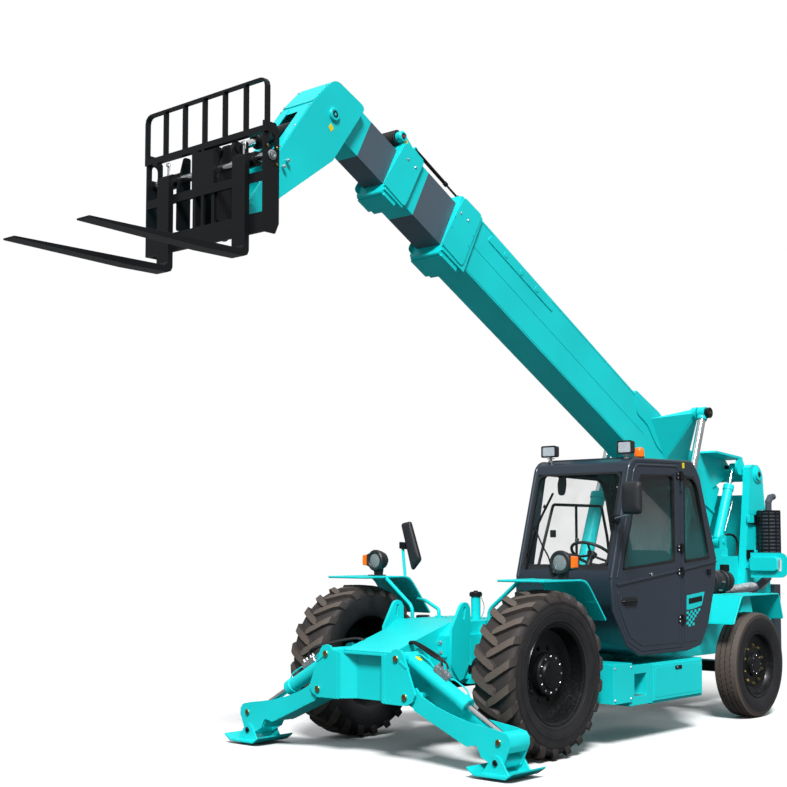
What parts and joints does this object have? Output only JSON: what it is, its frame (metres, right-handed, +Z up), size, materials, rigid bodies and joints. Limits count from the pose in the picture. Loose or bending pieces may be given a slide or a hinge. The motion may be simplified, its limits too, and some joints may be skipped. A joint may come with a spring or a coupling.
{
  "type": "telescopic handler",
  "caption": "Telescopic handler with a raised boom, fork carriage, offset cab, rear steering and front stabiliser legs.",
  "frame": {"origin": "on the ground under the middle of the machine's bounding box, on its centre plane", "axes": "-Y forward, the way the forks point; +X to the machine's left, the cab side; +Z up"},
  "size_m": [2.955, 8.765, 5.012],
  "materials": {
    "teal_paint": "gloss",
    "charcoal_paint": "satin",
    "slate_paint": "satin",
    "black_paint": "satin",
    "rim_black": "satin",
    "chrome": "polished",
    "tyre": "worn",
    "glass": "tinted",
    "seat_cloth": "woven",
    "black_plastic": "matt",
    "amber_plastic": "translucent",
    "cast_iron": "painted"
  },
  "bodies": {
    "chassis": {"chassis_frame": "teal_paint", "counterweight": "charcoal_paint", "front_axle": "black_paint", "rear_axle": "black_paint", "engine_block": "cast_iron", "step_box": "teal_paint", "side_tank": "black_paint", "cab_shell": "charcoal_paint", "cab_windscreen": "glass", "cab_rear_window": "glass", "cab_quarter_window": "glass", "cab_right_window": "glass", "seat": "seat_cloth", "dashboard": "black_plastic", "front_fender_left": "teal_paint", "front_fender_right": "teal_paint", "rear_fender_left": "teal_paint", "rear_fender_right": "teal_paint", "muffler": "black_paint", "air_cleaner": "black_paint", "mirror_left": "black_plastic", "mirror_right": "black_plastic", "beacon": "amber_plastic"},
    "cab_door": {"cab_door": "charcoal_paint", "cab_door_window": "glass"},
    "locker_door": {"locker_door": "teal_paint"},
    "boom_outer": {"boom_outer": "teal_paint"},
    "boom_mid": {"boom_mid": "slate_paint"},
    "boom_inner": {"boom_inner": "slate_paint"},
    "carriage": {"carriage": "black_paint"},
    "fork_left": {"fork_left": "black_paint"},
    "fork_right": {"fork_right": "black_paint"},
    "tilt_barrel": {"tilt_barrel": "black_paint"},
    "tilt_rod": {"tilt_rod": "chrome"},
    "slave_barrel": {"slave_barrel": "teal_paint"},
    "slave_rod": {"slave_rod": "chrome"},
    "lift_barrel_left": {"lift_barrel_left": "teal_paint"},
    "lift_rod_left": {"lift_rod_left": "chrome"},
    "stabiliser_leg_left": {"stabiliser_leg_left": "teal_paint"},
    "stabiliser_barrel_left": {"stabiliser_barrel_left": "teal_paint"},
    "stabiliser_rod_left": {"stabiliser_rod_left": "chrome"},
    "stabiliser_pad_left": {"stabiliser_pad_left": "teal_paint"},
    "front_wheel_left": {"front_tyre_left": "tyre", "front_rim_left": "rim_black"},
    "rear_wheel_left": {"rear_tyre_left": "tyre", "rear_rim_left": "rim_black"},
    "rear_knuckle_left": {"rear_knuckle_left": "black_paint"},
    "lift_barrel_right": {"lift_barrel_right": "teal_paint"},
    "lift_rod_right": {"lift_rod_right": "chrome"},
    "stabiliser_leg_right": {"stabiliser_leg_right": "teal_paint"},
    "stabiliser_barrel_right": {"stabiliser_barrel_right": "teal_paint"},
    "stabiliser_rod_right": {"stabiliser_rod_right": "chrome"},
    "stabiliser_pad_right": {"stabiliser_pad_right": "teal_paint"},
    "front_wheel_right": {"front_tyre_right": "tyre", "front_rim_right": "rim_black"},
    "rear_wheel_right": {"rear_tyre_right": "tyre", "rear_rim_right": "rim_black"},
    "rear_knuckle_right": {"rear_knuckle_right": "black_paint"}
  },
  "joints": [
    {"name": "boom_lift", "type": "hinge", "parent": "chassis", "child": "boom_outer", "pos_m": [0, 3.9725, 2.325], "axis": [-1, 0, 0], "range_deg": [-29, 38]},
    {"name": "mid_slide", "type": "slide", "parent": "boom_outer", "child": "boom_mid", "axis": [0, -0.8842, 0.4672], "range_m": [-0.4, 3]},
    {"name": "inner_slide", "type": "slide", "parent": "boom_mid", "child": "boom_inner", "axis": [0, -0.8842, 0.4672], "range_m": [-0.4, 3]},
    {"name": "carriage_tilt", "type": "hinge", "parent": "boom_inner", "child": "carriage", "pos_m": [0, -2.8675, 3.87], "axis": [-1, 0, 0], "range_deg": [-48, 28]},
    {"name": "fork_side_left", "type": "slide", "parent": "carriage", "child": "fork_left", "axis": [1, 0, 0], "range_m": [-0.2, 0.1]},
    {"name": "fork_side_right", "type": "slide", "parent": "carriage", "child": "fork_right", "axis": [-1, 0, 0], "range_m": [-0.15, 0.15]},
    {"name": "lift_barrel_left_turn", "type": "hinge", "parent": "chassis", "child": "lift_barrel_left", "pos_m": [0.505, 1.8325, 0.55], "axis": [-1, 0, 0], "range_deg": [-1.74, 2.28]},
    {"name": "lift_rod_left_slide", "type": "slide", "parent": "lift_barrel_left", "child": "lift_rod_left", "axis": [0, 0.3614, 0.9324], "range_m": [-0.6549, 0.858]},
    {"name": "lift_barrel_right_turn", "type": "hinge", "parent": "chassis", "child": "lift_barrel_right", "pos_m": [-0.505, 1.8325, 0.55], "axis": [-1, 0, 0], "range_deg": [-1.74, 2.28]},
    {"name": "lift_rod_right_slide", "type": "slide", "parent": "lift_barrel_right", "child": "lift_rod_right", "axis": [0, 0.3614, 0.9324], "range_m": [-0.6549, 0.858]},
    {"name": "slave_barrel_turn", "type": "hinge", "parent": "chassis", "child": "slave_barrel", "pos_m": [0.25, 3.4525, 1.63], "axis": [-1, 0, 0], "range_deg": [-0.52, 0.68]},
    {"name": "slave_rod_slide", "type": "slide", "parent": "slave_barrel", "child": "slave_rod", "axis": [0, 0.4173, 0.9087], "range_m": [-0.0877, 0.1148]},
    {"name": "tilt_barrel_turn", "type": "hinge", "parent": "boom_inner", "child": "tilt_barrel", "pos_m": [0, -2.0475, 4.735], "axis": [-1, 0, 0], "range_deg": [-1.68, 2.88]},
    {"name": "tilt_rod_slide", "type": "slide", "parent": "tilt_barrel", "child": "tilt_rod", "axis": [0, -0.8944, -0.4472], "range_m": [-0.188, 0.3219]},
    {"name": "stabiliser_swing_left", "type": "hinge", "parent": "chassis", "child": "stabiliser_leg_left", "pos_m": [0.444, -1.4325, 0.496], "axis": [0, -1, 0], "range_deg": [-6, 60]},
    {"name": "pad_swivel_left", "type": "hinge", "parent": "stabiliser_leg_left", "child": "stabiliser_pad_left", "pos_m": [1.255, -1.4325, 0.112], "axis": [0, -1, 0], "range_deg": [-35, 35]},
    {"name": "stabiliser_barrel_left_turn", "type": "hinge", "parent": "chassis", "child": "stabiliser_barrel_left", "pos_m": [0.359, -1.4325, 0.769], "axis": [0, -1, 0], "range_deg": [-5.26, 52.52]},
    {"name": "stabiliser_rod_left_slide", "type": "slide", "parent": "stabiliser_barrel_left", "child": "stabiliser_rod_left", "axis": [0.8694, 0, -0.4942], "range_m": [-0.2619, 0.0266]},
    {"name": "stabiliser_swing_right", "type": "hinge", "parent": "chassis", "child": "stabiliser_leg_right", "pos_m": [-0.444, -1.4325, 0.496], "axis": [0, 1, 0], "range_deg": [-6, 60]},
    {"name": "pad_swivel_right", "type": "hinge", "parent": "stabiliser_leg_right", "child": "stabiliser_pad_right", "pos_m": [-1.255, -1.4325, 0.112], "axis": [0, 1, 0], "range_deg": [-35, 35]},
    {"name": "stabiliser_barrel_right_turn", "type": "hinge", "parent": "chassis", "child": "stabiliser_barrel_right", "pos_m": [-0.359, -1.4325, 0.769], "axis": [0, 1, 0], "range_deg": [-5.26, 52.52]},
    {"name": "stabiliser_rod_right_slide", "type": "slide", "parent": "stabiliser_barrel_right", "child": "stabiliser_rod_right", "axis": [-0.8694, 0, -0.4942], "range_m": [-0.2619, 0.0266]},
    {"name": "front_wheel_spin_left", "type": "hinge", "parent": "chassis", "child": "front_wheel_left", "pos_m": [0.947, -0.6175, 0.63], "axis": [-1, 0, 0], "continuous": true},
    {"name": "steer_left", "type": "hinge", "parent": "chassis", "child": "rear_knuckle_left", "pos_m": [0.79, 2.6995, 0.484], "axis": [0, 0, 1], "range_deg": [-38, 38]},
    {"name": "rear_wheel_spin_left", "type": "hinge", "parent": "rear_knuckle_left", "child": "rear_wheel_left", "pos_m": [0.968, 2.6995, 0.484], "axis": [-1, 0, 0], "continuous": true},
    {"name": "front_wheel_spin_right", "type": "hinge", "parent": "chassis", "child": "front_wheel_right", "pos_m": [-0.947, -0.6175, 0.63], "axis": [-1, 0, 0], "continuous": true},
    {"name": "steer_right", "type": "hinge", "parent": "chassis", "child": "rear_knuckle_right", "pos_m": [-0.79, 2.6995, 0.484], "axis": [0, 0, 1], "range_deg": [-38, 38]},
    {"name": "rear_wheel_spin_right", "type": "hinge", "parent": "rear_knuckle_right", "child": "rear_wheel_right", "pos_m": [-0.968, 2.6995, 0.484], "axis": [-1, 0, 0], "continuous": true},
    {"name": "cab_door_swing", "type": "hinge", "parent": "chassis", "child": "cab_door", "pos_m": [1.142, 1.1855, 1.5], "axis": [0, 0, 1], "range_deg": [0, 110]},
    {"name": "locker_door_drop", "type": "hinge", "parent": "chassis", "child": "locker_door", "pos_m": [1.1145, 1.1275, 0.326], "axis": [0, 1, 0], "range_deg": [0, 90]}
  ],
  "couplings": [
    {"joint": "inner_slide", "follows": "mid_slide", "ratio": 1},
    {"joint": "lift_barrel_left_turn", "follows": "boom_lift", "ratio": 0.059775},
    {"joint": "lift_rod_left_slide", "follows": "boom_lift", "m_per_rad": 1.2929},
    {"joint": "lift_barrel_right_turn", "follows": "boom_lift", "ratio": 0.059775},
    {"joint": "lift_rod_right_slide", "follows": "boom_lift", "m_per_rad": 1.2929},
    {"joint": "slave_barrel_turn", "follows": "boom_lift", "ratio": 0.01762},
    {"joint": "slave_rod_slide", "follows": "boom_lift", "m_per_rad": 0.1723},
    {"joint": "tilt_barrel_turn", "follows": "carriage_tilt", "ratio": -0.059716},
    {"joint": "tilt_rod_slide", "follows": "carriage_tilt", "m_per_rad": -0.38366},
    {"joint": "stabiliser_barrel_left_turn", "follows": "stabiliser_swing_left", "ratio": 0.87514},
    {"joint": "stabiliser_rod_left_slide", "follows": "stabiliser_swing_left", "m_per_rad": -0.24964},
    {"joint": "stabiliser_barrel_right_turn", "follows": "stabiliser_swing_right", "ratio": 0.87514},
    {"joint": "stabiliser_rod_right_slide", "follows": "stabiliser_swing_right", "m_per_rad": -0.24964},
    {"joint": "steer_right", "follows": "steer_left", "ratio": 1}
  ]
}
